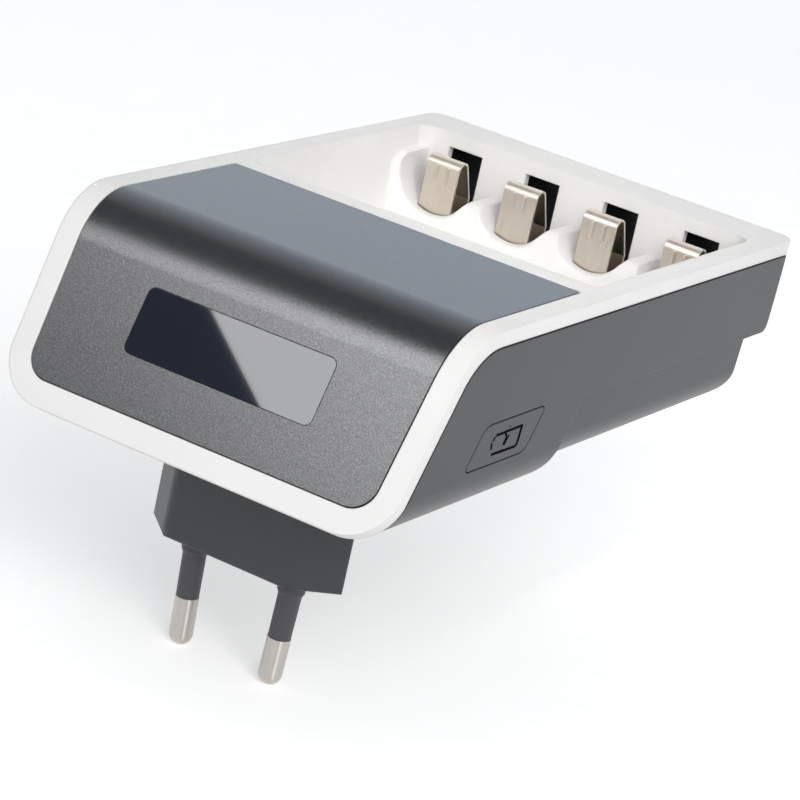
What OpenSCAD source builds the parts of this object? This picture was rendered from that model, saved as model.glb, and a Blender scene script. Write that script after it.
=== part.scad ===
// Plug-in charger for four AA cells, with a sloped display and a fixed two-pin mains plug.
// Millimetres. The origin is the middle of the plug's face, between the pins. The pins point
// down, the display end lies towards -Y and the cells towards +Y.

/* [Body] */
// Width of the body at the rim
body_w = 76; // [75:0.5:82]
// Height of the rim's face above the plug's face
rim_h = 52.5; // [51:0.5:58]
// Distance from the plug's middle forward to the line where top and slope meet
bend_y = 11.1; // [9:0.1:14]
// Distance from the plug's middle back to the far end
far_y = 103.2; // [102:0.1:110]
// Angle of the display slope below the top
slope_a = 64.6; // [60:0.2:68]
// Length of the slope from the bend line to the rim's lower edge
slope_l = 35.4; // [35:0.2:40]
// Outer radius of the bend between top and slope
bend_r = 12.7; // [9:0.1:16]
// Draft of the outer walls
draft_a = 3; // [1:0.5:4]
// Radius of the two far corners, seen from above
far_r = 2.8; // [2.4:0.1:4]

/* [Rim] */
// Width of the rim's face along both sides
rim_w = 3.9; // [3.6:0.1:5]
// Thickness of the rim, which is also the height of its side band
rim_t = 2.7; // [2.4:0.1:4]
// Width of the rim's face at the far end
far_rim_w = 10.2; // [8:0.1:12]
// Corner radius at the rim's lower edge
low_r = 9; // [5:0.5:10]
// Width of the ledge that the display cover rests on
ledge_w = 1.8; // [1:0.1:2.4]
// Height of the shadow groove between rim and housing
seam_h = 0.35; // [0.2:0.05:0.6]
// Depth of the shadow groove
seam_d = 0.8; // [0.4:0.1:1.2]

/* [Display cover] */
// Distance from the plug's middle back to the cover's far edge
cover_y = 28.9; // [26:0.1:30]
// Distance down the slope to the cover's lower edge
cover_s = 31.1; // [30:0.1:32]
// Corner radius at the cover's lower edge
cover_r = 4.5; // [2:0.5:7]
// Corner radius at the cover's far edge
cover_far_r = 0.8; // [0.4:0.1:2]
// Thickness of the cover
cover_t = 1.8; // [1.2:0.1:2.2]
// Gap between the cover and the rim
cover_gap = 0.2; // [0.15:0.05:0.5]

/* [Display] */
// Width of the window
window_w = 35.4; // [30:0.2:40]
// Height of the window along the slope
window_h = 11.2; // [9:0.2:13]
// Distance down the slope to the middle of the window
window_s = 16.4; // [15:0.1:18]
// Corner radius of the window
window_r = 1.3; // [0.5:0.1:3]
// Width of the window's bonded flange behind the cover
flange_w = 1.8; // [1:0.1:3]
// Thickness of that flange
flange_t = 0.8; // [0.5:0.1:1.2]
// Clearance round the window in its cut-out
window_gap = 0.08; // [0.05:0.01:0.2]
// Thickness of the liquid-crystal glass
lcd_t = 2.2; // [1.5:0.1:3]
// Wall of the frame that holds the glass
holder_w = 2; // [1:0.1:3]
// Clearance between the glass and its frame
holder_gap = 0.2; // [0.1:0.05:0.4]
// Width of the display board outside its screws
panel_edge = 4; // [3:0.1:5]
// Gap between the glass's frame and the display board's posts
panel_post_gap = 0.8; // [0.5:0.1:1.5]
// Distance from the slope's top down to the display board
panel_up = 4.4; // [4:0.1:5.5]
// Distance from the slope's lower end up to the display board
panel_low = 7; // [6.5:0.1:8]
// Thickness of the display board
panel_t = 1.2; // [0.8:0.1:1.6]

/* [Tray] */
// Number of cells side by side
bays = 4; // [4:1:4]
// Space between the outer cells' bays and the tray's sides
bay_side = 1.1; // [0.4:0.1:2]
// Width of the white strip between the cover and the tray
near_ledge = 4.2; // [3.5:0.1:5]
// Depth of the tray's floor below the rim's face
tray_d = 15; // [14.6:0.1:15]
// Thickness of the tray's walls and floor
tray_t = 1.6; // [1.2:0.1:1.6]
// Corner radius of the tray, seen from above
tray_r = 3; // [1:0.5:5]
// Length of the cradle at the far end
far_cradle_l = 10.5; // [10:0.1:13]
// Length of the cradle at the near end
near_cradle_l = 8; // [7:0.1:10]
// Depth of the cradles' top below the rim's face
cradle_d = 9; // [8.6:0.1:10]
// Depth of the cheeks beside the outer cells below the rim's face
cheek_d = 4; // [3:0.1:6]
// How far the cheeks stand over the troughs' sides
cheek_over = 0.1; // [0.05:0.01:0.15]
// Radius of the cradles' rounded edge
cradle_r = 3.6; // [2:0.1:4.5]
// Depth of the troughs' lowest line below the rim's face
trough_d = 13.5; // [13:0.1:14.5]
// Radius of the troughs
trough_r = 7.6; // [7.4:0.1:8]
// Radius of the troughs' flared mouth
mouth_r = 1; // [0.5:0.1:2]

/* [Contacts] */
// Width of the contact strips
strip_w = 6.8; // [6:0.1:8]
// Thickness of the contact strips
strip_t = 0.4; // [0.3:0.05:0.5]
// Clearance on each side of a strip in its slot
slot_gap = 0.15; // [0.1:0.05:0.3]
// Depth of the slots' upper edge below the rim's face
slot_d = 2.6; // [2:0.1:3]
// Distance from the far wall forward to the spring leg's face
leg_y = 7.6; // [7:0.1:8]
// Gap before the spring leg's foot in its slot
leg_gap = 0.4; // [0.3:0.05:0.6]
// Outer radius of the spring's top bend
hairpin_r = 1.75; // [1.4:0.05:2]
// Depth of the spring's top below the rim's face
hairpin_d = 3; // [2.8:0.1:4]
// Distance from the far wall forward to the spring's root
root_y = 1.4; // [1.2:0.1:1.8]
// Depth of the spring's knee, where its back leg turns down, below the rim's face
knee_d = 10.3; // [9.5:0.1:11]
// Depth of the spring leg's free end below the rim's face
leg_end_d = 14.6; // [14.2:0.1:15]
// Radius of the two ribs pressed into the spring leg
rib_r = 0.55; // [0.4:0.05:0.7]
// Distance of the ribs from the strip's middle
rib_x = 1.15; // [0.8:0.05:2]
// Length of the ribs
rib_l = 2.6; // [2:0.1:4]
// How far the ribs stand out of the strip
rib_out = 0.22; // [0.1:0.02:0.3]
// Distance from the near wall to the face of the fixed contacts
plate_y = 3.6; // [3:0.1:4]
// Depth of the fixed contacts' top below the rim's face
plate_d = 4; // [3:0.1:6]
// Diameter of the fixed contacts' raised spot
spot_d = 3; // [2:0.1:4]
// Height of that spot
spot_h = 0.3; // [0.2:0.05:0.5]

/* [Housing] */
// Wall of the housing
wall = 1.8; // [1.4:0.1:1.8]
// Depth of the step under the far end below the rim's face
step_d = 17.75; // [17.7:0.05:19]
// Distance from the far end forward to the belly's end
belly_back = 7.2; // [7:0.1:8.2]
// Depth of the belly's bottom below the rim's face
belly_d = 30.3; // [30:0.1:31]
// How far the belly's sides stand in
belly_in = 1; // [0.5:0.1:1.5]
// Depth of the belly's upper line below the rim's face
belly_line_d = 17.3; // [17.1:0.1:17.6]
// Radius along the belly's lower edges
belly_r = 6; // [4:0.5:8]
// Distance from the plug's middle back to the deep part's end, at the step's height
deep_y = 32.4; // [31:0.1:34]
// Height of the deep part's bottom above the back of the rim's lower edge
deep_up = 0.6; // [0:0.1:1]
// Radius along the deep part's lower edges
deep_r = 7.5; // [5:0.5:9]
// Radius between the deep part's bottom and its slanted end
deep_end_r = 7; // [5:0.5:9]
// Radius at the far end's lower edge
step_r = 1.5; // [0.5:0.1:2.5]
// Height of the inner shoulder above the belly's line
shoulder = 0.4; // [0.2:0.05:0.4]

/* [Side button] */
// Place of the button's middle along the side
button_y = 7.5; // [5:0.1:10]
// Depth of the button's middle below the rim's face
button_d = 20.2; // [19.5:0.1:21]
// Length of the button
button_w = 19.2; // [16:0.1:20]
// Height of the button
button_h = 7.2; // [6:0.1:8]
// Radius of its two round corners
button_r = 2.7; // [1.5:0.1:3.4]
// Radius of its two tight corners
button_tight_r = 0.8; // [0.4:0.1:1.5]
// Gap round the button
button_gap = 0.25; // [0.15:0.05:0.4]
// Travel of the button
button_travel = 0.6; // [0.4:0.05:0.8]
// Width of the button's flange behind the wall
button_lip = 0.9; // [0.6:0.1:1.2]
// Thickness of that flange
button_lip_t = 1; // [0.8:0.1:1.4]
// Diameter of the button's stem
stem_d = 4; // [3:0.1:5]

/* [Plug] */
// Width of the plug's body
plug_w = 37.2; // [35:0.1:37.5]
// Thickness of the plug's body
plug_t = 13.4; // [13:0.1:14.5]
// Radius round the plug's face
plug_r = 0.5; // [0.3:0.1:1.5]
// Radius of the plug's upright edges beside its flat faces
plug_edge_r = 3; // [1:0.1:5]
// Radius of the plug's two ends
plug_tip_r = 0.5; // [0.3:0.1:2]
// Clearance of the plug's body in the housing
plug_gap = 0.1; // [0.05:0.01:0.2]
// Flange of the plug's body inside the housing
plug_lip = 1.8; // [1:0.1:3]
// Thickness of that flange
plug_lip_t = 1.6; // [1:0.1:2]
// Diameter of the bare pins
pin_d = 4; // [3.9:0.05:4.1]
// Length of the pins from the plug's face
pin_l = 19.5; // [18.5:0.1:19.5]
// Distance between the pins at the plug's face
pin_base = 19.2; // [18.6:0.1:19.4]
// Distance between the pins at their tips
pin_tip = 17.8; // [17:0.1:18]
// Diameter of the pins' core inside sleeve and plug
core_d = 2.8; // [2.4:0.1:3]
// Clearance round a pin's core
core_gap = 0.03; // [0.02:0.01:0.08]
// Length of the insulating sleeves below the plug's face
sleeve_l = 11; // [10:0.1:11.4]
// Diameter of the insulating sleeves below their collar
sleeve_d = 4; // [3.8:0.05:4.2]
// Diameter of the insulating sleeves at their end
sleeve_end_d = 3.85; // [3.6:0.05:3.95]
// Diameter of the sleeves' collar at the plug's face
collar_d = 4.7; // [4.4:0.1:5]
// Length of that collar
collar_l = 2.6; // [1:0.1:3]
// Length over which the collar narrows to the sleeve
collar_cone = 0.8; // [0.4:0.1:1.2]
// Diameter of the pins' heads inside the plug
head_d = 5; // [4.6:0.1:6]
// Height of the pins' heads above the plug's flange
head_h = 1.2; // [0.8:0.1:1.6]

/* [Boards and power parts] */
// Least height of the board's bosses
boss_l = 3; // [3:0.1:4]
// Least height of the strips between the pins and the main board
terminal_l = 1; // [1:0.1:2]
// Thickness of the boards
board_t = 1.6; // [1:0.1:1.6]
// Gap between the main board's edges and the screw posts
board_post_gap = 0.5; // [0.3:0.1:1.5]
// Place of the main board's front edge
board_front = -11; // [-12:0.5:-9]
// Gap between the main board's far edge and the housing
board_gap = 0.6; // [0.4:0.1:1]
// Core of the transformer: width, thickness and height
core_size = [22, 8, 16]; // [4:0.5:24]
// Place of the transformer
core_at = [-11, 14]; // [-20:0.5:20]
// Width of the core's middle leg
core_leg = 6; // [5:0.5:8]
// Thickness of the core's outer legs and yokes
core_yoke = 3.5; // [3:0.5:4]
// Clearance between coil and core
coil_gap = 0.2; // [0.1:0.05:0.4]
// Depth of the coil
coil_depth = 15; // [12:0.5:18]
// Diameter of the input capacitor
in_cap_d = 10; // [8:0.5:12]
// Height of the input capacitor
in_cap_h = 15; // [12:0.5:16]
// Diameter of the output capacitors
out_cap_d = 6.3; // [5:0.1:8]
// Height of the output capacitors
out_cap_h = 5.4; // [4:0.1:5.5]
// Depth of the groove round a capacitor's can
can_groove = 0.4; // [0.2:0.1:0.6]
// Diameter of the fuse
fuse_d = 8.5; // [7:0.1:9]
// Height of the fuse
fuse_h = 8; // [6:0.1:9]
// Place of the fuse
fuse_at = [14, 2]; // [-20:0.5:20]
// Place of the input capacitor
in_cap_at = [10, 16]; // [-20:0.5:24]
// Place of the right output capacitor, which its twin mirrors
out_cap_at = [15, 50]; // [10:0.5:60]
// Rectifier: width, length and height
rectifier_size = [8, 6, 2.6]; // [2:0.1:9]
// Place of the rectifier
rectifier_at = [-8, -3]; // [-20:0.5:20]
// Charge controller: width, length and height
chip_size = [7.5, 13, 2.3]; // [2:0.1:14]
// Place of the charge controller
chip_at = [0, 60]; // [-10:0.5:70]
// Charge transistors: width, length and height
transistor_size = [6.5, 6.2, 2.3]; // [2:0.1:8]
// Length of their metal tab
transistor_tab = 2.4; // [1:0.1:4]
// Place of the charge transistors along the board
transistor_y = 76; // [70:0.5:80]
// Push switch: depth and width
switch_size = [3.5, 6]; // [3:0.1:8]
// Diameter of the switch's plunger
plunger_d = 3.2; // [2.5:0.1:3.6]
// Clearance round the plunger
plunger_gap = 0.15; // [0.1:0.05:0.3]
// Length of the plunger inside the switch
plunger_in = 1; // [0.8:0.1:1.4]
// Length of the plunger between switch and stem
plunger_out = 1.5; // [1.2:0.1:2]
// Width of the flat cable between the boards
ribbon_w = 16; // [10:0.5:20]
// Thickness of the flat cable
ribbon_t = 0.3; // [0.2:0.05:0.4]
// Radius of the flat cable's bend
ribbon_r = 3; // [2:0.5:4]
// Length of the flat cable on each board
ribbon_l = 4; // [3:0.5:6]
// Thickness of the pins' terminal strips
terminal_t = 0.5; // [0.4:0.1:0.8]
// Width of the pins' terminal strips
terminal_w = 4; // [3:0.1:5]

/* [Fasteners] */
// Distance of the housing screws from the body's sides
screw_in = 8.6; // [8.2:0.1:9]
// Distance of the near housing screws from the tray's near wall
screw_near = 12.9; // [11:0.1:16]
// Distance of the far housing screws from the far end
screw_far = 17.3; // [16.5:0.1:19]
// Diameter of the housing screws' shank
screw_d = 2.9; // [2.5:0.1:3]
// Diameter of the housing screws' head
screw_head_d = 5; // [4.6:0.1:5.2]
// Height of the housing screws' head
screw_head_h = 1.8; // [1.4:0.1:2]
// Length of the housing screws' shank
screw_l = 9; // [8:0.1:9.2]
// Diameter of the posts that the housing screws join
post_d = 6.8; // [6.4:0.1:7]
// Clearance of a screw in its hole
screw_gap = 0.15; // [0.1:0.05:0.3]
// Depth of the screw heads inside the belly
screw_sink = 1.2; // [1:0.1:1.4]
// Length of the tray's posts below its floor
post_l = 6; // [5:0.1:6.4]
// Distance of the main board's screws from its edges
board_screw_in = 3; // [2.5:0.1:4]
// Places of the main board's screws along the body
board_screw_y = [-7, 60]; // [-8:0.5:70]
// Diameter of the board screws' shank
board_screw_d = 2; // [1.6:0.1:2.2]
// Diameter of the board screws' head
board_head_d = 3.8; // [3.4:0.1:4]
// Height of the board screws' head
board_head_h = 1.4; // [1:0.1:1.6]
// Length of the board screws' shank
board_screw_l = 4.4; // [4:0.1:4.6]
// Diameter of the bosses under the board
boss_d = 5; // [4.4:0.1:5.4]

/* [Hidden] */
$fn = 64;
// Length by which cutting shapes run past what they cut
past = 1;
// Reach of shapes that run past the whole body
reach = 200;

slope_sin = sin(slope_a);
slope_cos = cos(slope_a);
draft = tan(draft_a);
// Distance of the bend line's shift for each millimetre below the face
bend_shift = tan(slope_a / 2);
// Height of the deep part's bottom
deep_z = rim_h - slope_l * slope_sin - rim_t * slope_cos + deep_up;
belly_y = far_y - belly_back;
belly_z = rim_h - belly_d;
step_z = rim_h - step_d;
belly_line_z = rim_h - belly_line_d;
floor_z = rim_h - tray_d;
near_y = cover_y + near_ledge;
far_wall_y = far_y - far_rim_w;
cradle_z = rim_h - cradle_d;
cheek_z = rim_h - cheek_d;
trough_z = rim_h - trough_d + trough_r;
bay_pitch = (body_w - 2 * (rim_w + bay_side)) / bays;
bay_x = [for (i = [0:bays - 1]) (i - (bays - 1) / 2) * bay_pitch];
screw_x = body_w / 2 - screw_in;
screw_y = [near_y + screw_near, far_y - screw_far];
board_x = screw_x - post_d / 2 - board_post_gap;
board_screw_x = board_x - board_screw_in;
// Half the width of the plug's body to the point where its facets would meet
plug_point = plug_w / 2 + plug_tip_r * (sqrt(2) - 1);
plug_top = deep_z + wall + plug_lip_t;
pin_top = plug_top + head_h;
// Height of the main board, above the pins' strips and its bosses
board_z = max(pin_top + terminal_l, belly_z + wall + boss_l);
board_top = board_z + board_t;
board_far = belly_y - wall - board_gap;
// Far edge of the tray's floor, just before the belly's end wall
floor_far = belly_y - wall - board_gap / 2;
far_wall_low = step_z + wall + board_gap / 2;
leg_front = far_wall_y - leg_y;
root_at = far_wall_y - root_y;
slot_w = strip_w + 2 * slot_gap;
// Depths below the slope's face of the display's layers
flange_back = cover_t + flange_t;
lcd_back = flange_back + lcd_t;
panel_back = lcd_back + panel_t;
lcd_w = window_w + 2 * flange_w;
lcd_h = window_h + 2 * flange_w;
// Place of the display board's screws across the slope, outside the glass's frame
panel_screw_x = lcd_w / 2 + holder_gap + holder_w + panel_post_gap + boss_d / 2;
panel_w = 2 * (panel_screw_x + panel_edge);
pin_lean = atan((pin_base - pin_tip) / 2 / pin_l);
button_z = rim_h - button_d;
// Inner end of the button's stem, where it meets the switch's plunger
stem_end = board_x + plunger_out;

// Vector of length one along v
function unit(v) = v / norm(v);
// Half the width between the outer walls at height z
function half_at(z) = body_w / 2 - (rim_h - z) * draft;
// Point of the side view that lies s down the slope and d below its face
function slope_at(s, d) =
    [-bend_y - s * slope_cos + d * slope_sin, rim_h - s * slope_sin - d * slope_cos];
// Place of the deep part's slanted end at height z
function deep_end(z) = deep_y - (step_z - z) / tan(slope_a);
// Place of the far end's drafted wall at height z
function far_at(z) = far_y - (rim_h - z) * draft;
// Directions from corner i of outline p to its two neighbours
function corner_sides(p, i) =
    [unit(p[(i + len(p) - 1) % len(p)] - p[i]), unit(p[(i + 1) % len(p)] - p[i])];
// Half the angle between two directions
function half_angle(sides) = acos(sides[0] * sides[1]) / 2;
// Points where the arc of radius r at corner i begins and ends
function corner_ends(p, i, r) =
    let (sides = corner_sides(p, i), t = r / tan(half_angle(sides)))
    r > 0 ? [p[i] + sides[0] * t, p[i] + sides[1] * t] : [p[i]];
// Centre of that arc
function corner_centre(p, i, r) =
    let (sides = corner_sides(p, i))
    p[i] + unit(sides[0] + sides[1]) * r / sin(half_angle(sides));

// Convex outline p with a radius for each corner
module rounded(p, r) {
    polygon([for (i = [0:len(p) - 1]) each corner_ends(p, i, r[i])]);
    for (i = [0:len(p) - 1])
        if (r[i] > 0)
            translate(corner_centre(p, i, r[i])) circle(r[i]);
}

// Rectangle about the origin with one radius
module rounded_box(w, h, r) {
    rounded([[-w, -h] / 2, [w, -h] / 2, [w, h] / 2, [-w, h] / 2], [r, r, r, r]);
}

// Side view (y, z) swept across the width
module across(w) {
    rotate([90, 0, 90]) linear_extrude(w, center = true) children();
}

// Front view (x, z) swept along the length
module along(from, to) {
    translate([0, to, 0]) rotate([90, 0, 0]) linear_extrude(to - from) children();
}

// Frame of the slope: x across, y up the slope from the bend line, z out of its face
module on_slope() {
    translate([0, -bend_y, rim_h]) rotate([slope_a, 0, 0]) children();
}

// Plate on the slope whose middle is s down it, between two depths below its face
module slope_plate(s, from, to) {
    on_slope() translate([0, -s, -to]) linear_extrude(to - from) children();
}

// Side view of all that lies more than d below the top and the slope
module skin(d) {
    low = slope_at(2 * slope_l, d);
    bend = [-bend_y + d * bend_shift, rim_h - d];
    rounded([[reach, rim_h - d], bend, low, [reach, low[1]]], [0, bend_r - d, 0, 0]);
}

// Side view of the layer between two depths below the top and the slope
module layer(from, to) {
    difference() {
        skin(from);
        skin(to);
    }
}

// Front view of the drafted body, set in by inset, with rounded lower edges
module front(inset, low, high, r = 0) {
    x_high = half_at(high) - inset;
    x_low = half_at(low) - inset;
    rounded([[-x_high, high], [x_high, high], [x_low, low], [-x_low, low]], [0, 0, r, r]);
}

// Column bounded by the drafted sides, a far edge seen from above and a lower edge on the slope
module column(inset, end_y, end_r, end_s, low_radius) {
    x = body_w / 2 - inset;
    up = reach / slope_sin;
    x_up = half_at(rim_h + reach) - inset;
    x_low = half_at(rim_h - end_s * slope_sin) - inset;
    intersection() {
        along(-reach, reach) front(inset, 0, rim_h + past);
        linear_extrude(rim_h + past)
            rounded([[-x, -reach], [x, -reach], [x, end_y], [-x, end_y]], [0, 0, end_r, end_r]);
        on_slope() translate([0, 0, -reach]) linear_extrude(2 * reach)
            rounded([[-x_up, up], [x_up, up], [x_low, -end_s], [-x_low, -end_s]],
                    [0, 0, low_radius, low_radius]);
    }
}

// Trough for one cell's end: a round channel along +Y whose mouth at y = 0 is flared
module trough(l) {
    rotate([-90, 0, 0]) rotate_extrude() {
        square([trough_r, l]);
        difference() {
            square([trough_r + mouth_r, mouth_r]);
            translate([trough_r + mouth_r, mouth_r]) circle(mouth_r);
        }
    }
}

// Side view of a cradle of length l from y = 0 towards +Y, rounded along its free edge at y = 0
module cradle_view(l, high) {
    low = floor_z - tray_t / 2;
    back = l + tray_t / 2;
    rounded([[back, low], [back, high], [0, high], [0, low]], [0, 0, cradle_r, 0]);
}

// Cradle for one row of cell ends, with a higher cheek beside each outer cell
module cradle(l) {
    channel = trough_r - cheek_over;
    difference() {
        intersection() {
            union() {
                across(body_w) cradle_view(l, cradle_z);
                for (x = [-body_w / 2, body_w / 2])
                    translate([x, 0, 0]) across(body_w - 2 * bay_x[bays - 1]) cradle_view(l, cheek_z);
            }
            along(-past, l + tray_t) front(rim_w - tray_t / 2, floor_z - tray_t, rim_h);
        }
        for (x = bay_x) translate([x, 0, trough_z]) {
            trough(l);
            translate([-channel, -past, 0]) cube([2 * channel, l + past, tray_d]);
        }
    }
}

// White upper moulding: the rim with its ledge, and the tray that hangs in it
module top_frame() {
    color("white") difference() {
        union() {
            rim_and_tray();
            translate([0, far_wall_y - far_cradle_l, 0]) cradle(far_cradle_l);
            translate([0, near_y + near_cradle_l, 0]) mirror([0, 1, 0]) cradle(near_cradle_l);
            for (x = bay_x) backrest(x);
            for (x = [-screw_x, screw_x], y = screw_y)
                translate([x, y, floor_z - tray_t - post_l]) cylinder(d = post_d, h = post_l + tray_t / 2);
        }
        for (x = bay_x) {
            spring_slot(x);
            plate_slot(x);
        }
        for (x = [-screw_x, screw_x], y = screw_y)
            translate([x, y, floor_z - tray_t - post_l - past])
                cylinder(d = screw_d + 2 * core_gap, h = post_l + past);
    }
}

// The bent rim, the ledge under the cover and the tray's walls and floor
module rim_and_tray() {
    difference() {
        union() {
            intersection() {
                across(body_w + past) layer(0, rim_t);
                column(0, far_y, far_r, slope_l, low_r);
            }
            along(near_y - tray_t, far_wall_y + tray_t)
                front(rim_w - tray_t, floor_z - tray_t, rim_h - rim_t / 2);
        }
        intersection() {
            across(body_w) layer(-past, cover_t);
            column(rim_w, cover_y, cover_far_r, cover_s, cover_r);
        }
        column(rim_w + ledge_w, cover_y - ledge_w, cover_far_r, cover_s - ledge_w, cover_r - ledge_w);
        basin();
        translate([-body_w / 2, floor_far, floor_z - tray_t - past])
            cube([body_w, far_wall_y + tray_t, far_wall_low - floor_z + tray_t + past]);
    }
}

// Hollow of the tray, with rounded upright corners and drafted sides
module basin() {
    w = body_w - 2 * rim_w;
    l = far_wall_y - near_y;
    intersection() {
        along(near_y, far_wall_y) front(rim_w, floor_z, rim_h + past);
        translate([0, near_y + l / 2, floor_z]) linear_extrude(tray_d + past) rounded_box(w, l, tray_r);
    }
}

// Rib behind a fixed contact
module backrest(x) {
    l = plate_y - strip_t - slot_gap;
    translate([x - slot_w / 2, near_y - tray_t / 2, floor_z - tray_t / 2])
        cube([slot_w, l + tray_t / 2, tray_d - plate_d + tray_t / 2]);
}

// Slot of a spring contact through the far wall, the cradle and the floor
module spring_slot(x) {
    low = floor_z - tray_t - past;
    front = leg_front - leg_gap;
    translate([x - slot_w / 2, front, low])
        cube([slot_w, far_wall_y + tray_t + past - front, rim_h - slot_d - low]);
}

// Slot of a fixed contact through the near cradle and the floor
module plate_slot(x) {
    low = floor_z - tray_t - past;
    translate([x - slot_w / 2, near_y + plate_y - strip_t - slot_gap, low])
        cube([slot_w, strip_t + 2 * slot_gap, cradle_z + past - low]);
}

// Dark panel that runs from the top round the bend and down the slope
module display_cover() {
    color("dimgray") difference() {
        union() {
            intersection() {
                across(body_w) layer(0, cover_t);
                column(rim_w + cover_gap, cover_y - cover_gap, cover_far_r, cover_s - cover_gap, cover_r);
            }
            for (x = [-panel_screw_x, panel_screw_x])
                on_slope() translate([x, -window_s, -lcd_back])
                    cylinder(d = boss_d, h = lcd_back - cover_t / 2);
        }
        slope_plate(window_s, -past, cover_t + past)
            rounded_box(window_w + 2 * window_gap, window_h + 2 * window_gap, window_r + window_gap);
        for (x = [-panel_screw_x, panel_screw_x])
            on_slope() translate([x, -window_s, -lcd_back - past])
                cylinder(d = board_screw_d + 2 * core_gap, h = board_screw_l - panel_t + core_gap + past);
    }
}

// Tinted window, flush with the cover and bonded behind it by its flange
module display_window() {
    color("midnightblue") {
        slope_plate(window_s, 0, flange_back) rounded_box(window_w, window_h, window_r);
        slope_plate(window_s, cover_t, flange_back) rounded_box(lcd_w, lcd_h, window_r);
    }
}

// Liquid-crystal glass behind the window
module lcd_panel() {
    color("darkseagreen") slope_plate(window_s, flange_back, lcd_back) square([lcd_w, lcd_h], center = true);
}

// Frame that holds the glass on the display board
module lcd_holder() {
    inner = [lcd_w, lcd_h] + 2 * [holder_gap, holder_gap];
    color("whitesmoke") slope_plate(window_s, cover_t + holder_gap, lcd_back) difference() {
        square(inner + 2 * [holder_w, holder_w], center = true);
        square(inner, center = true);
    }
}

// Board behind the glass
module display_board() {
    color("seagreen") slope_plate(window_s, lcd_back, panel_back) difference() {
        translate([-panel_w / 2, window_s - slope_l + panel_low])
            square([panel_w, slope_l - panel_low - panel_up]);
        for (x = [-panel_screw_x, panel_screw_x]) translate([x, 0]) circle(d = board_screw_d + 2 * screw_gap);
    }
}

// Side view of the space behind the display board and above the main board, set in by d
module board_corner(d, more) {
    depth = panel_back + d;
    s = (rim_h - depth * slope_cos - board_top - d) / slope_sin;
    top = slope_at(s - ribbon_r - ribbon_l - more, depth);
    end = [board_front + ribbon_l + more, board_top + d];
    rounded([top, slope_at(s, depth), end, [end[0], top[1]]], [0, ribbon_r - d, 0, 0]);
}

// Flat cable from the display board to the main board
module display_ribbon() {
    color("ivory") across(ribbon_w) difference() {
        board_corner(0, 0);
        board_corner(ribbon_t, past);
    }
}

// Side view of the housing's upper band
module band_view() {
    intersection() {
        skin(rim_t);
        rounded([[-reach, step_z], [-reach, rim_h], [far_y, rim_h], [far_at(step_z), step_z]],
                [0, 0, 0, step_r]);
    }
}

// Side view of the deep part that carries the plug, set in by inset
module deep_view(inset, high) {
    shift = inset / slope_sin;
    low = deep_z + inset;
    rounded([[-reach, low], [deep_end(low) - shift, low], [deep_end(high) - shift, high], [-reach, high]],
            [0, deep_end_r - inset, 0, 0]);
}

// Side view of the belly under the tray, set in by inset
module belly_view(inset, high) {
    end = belly_y - inset;
    start = deep_end(belly_z) - belly_r;
    low = belly_z + inset;
    rounded([[start, high], [end, high], [end, low], [start, low]], [0, 0, belly_r - inset, 0]);
}

// The housing's outside
module housing_outside() {
    intersection() {
        across(body_w + past) band_view();
        column(0, far_y, far_r, slope_l, low_r);
    }
    intersection() {
        across(body_w + past) intersection() {
            skin(rim_t);
            deep_view(0, step_z + past);
        }
        along(-reach, reach) front(0, deep_z, rim_h, deep_r);
        column(0, far_y, far_r, slope_l, low_r);
    }
    intersection() {
        across(body_w + past) belly_view(0, belly_line_z);
        along(-reach, reach) front(belly_in, belly_z, rim_h, belly_r);
    }
}

// The housing's hollow, open to the rim and to the display cover
module housing_inside() {
    high = belly_line_z + shoulder;
    end = belly_y - wall;
    intersection() {
        across(body_w) polygon([[-reach, high], [-reach, rim_h + past], [far_at(rim_h) - wall, rim_h + past],
                                [far_at(step_z) - wall, step_z + wall], [end, step_z + wall], [end, high]]);
        column(wall, far_y - wall, far_r - wall, slope_l + reach, low_r);
    }
    intersection() {
        across(body_w) deep_view(wall, high + past);
        along(-reach, reach) front(wall, deep_z + wall, rim_h, deep_r - wall);
    }
    intersection() {
        across(body_w) belly_view(wall, high + past);
        along(-reach, reach) front(belly_in + wall, belly_z + wall, rim_h, belly_r - wall);
    }
}

// Shadow groove under the rim
module seam_groove() {
    difference() {
        across(body_w + past) layer(rim_t - past, rim_t + seam_h);
        column(seam_d, far_y - seam_d, far_r - seam_d, slope_l - seam_d, low_r - seam_d);
    }
}

// Dark lower shell with its screw posts, board bosses and cut-outs
module lower_housing() {
    join_z = floor_z - tray_t - post_l;
    head_z = belly_z + screw_sink + screw_head_h;
    pilot = board_screw_l - board_t + screw_gap;
    color("gray") difference() {
        union() {
            difference() {
                housing_outside();
                housing_inside();
            }
            for (x = [-screw_x, screw_x], y = screw_y)
                translate([x, y, belly_z + wall / 2]) cylinder(d = post_d, h = join_z - belly_z - wall / 2);
            for (x = [-board_screw_x, board_screw_x], i = [0, 1]) {
                low = i == 0 ? deep_z : belly_z;
                translate([x, board_screw_y[i], low + wall / 2])
                    cylinder(d = boss_d, h = board_z - low - wall / 2);
            }
        }
        seam_groove();
        translate([0, 0, deep_z - past]) linear_extrude(wall + 2 * past) plug_outline(plug_gap);
        translate([half_at(button_z) - wall - past, button_y, button_z]) rotate([90, 0, 90])
            linear_extrude(wall + 2 * past) button_outline(button_gap);
        for (x = [-screw_x, screw_x], y = screw_y) translate([x, y, belly_z - past]) {
            cylinder(d = screw_d + 2 * screw_gap, h = join_z - belly_z + 2 * past);
            cylinder(d = screw_head_d + 2 * screw_gap, h = head_z - belly_z + past);
        }
        for (x = [-board_screw_x, board_screw_x], y = board_screw_y)
            translate([x, y, board_z - pilot]) cylinder(d = board_screw_d + 2 * core_gap, h = pilot + past);
    }
}

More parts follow.
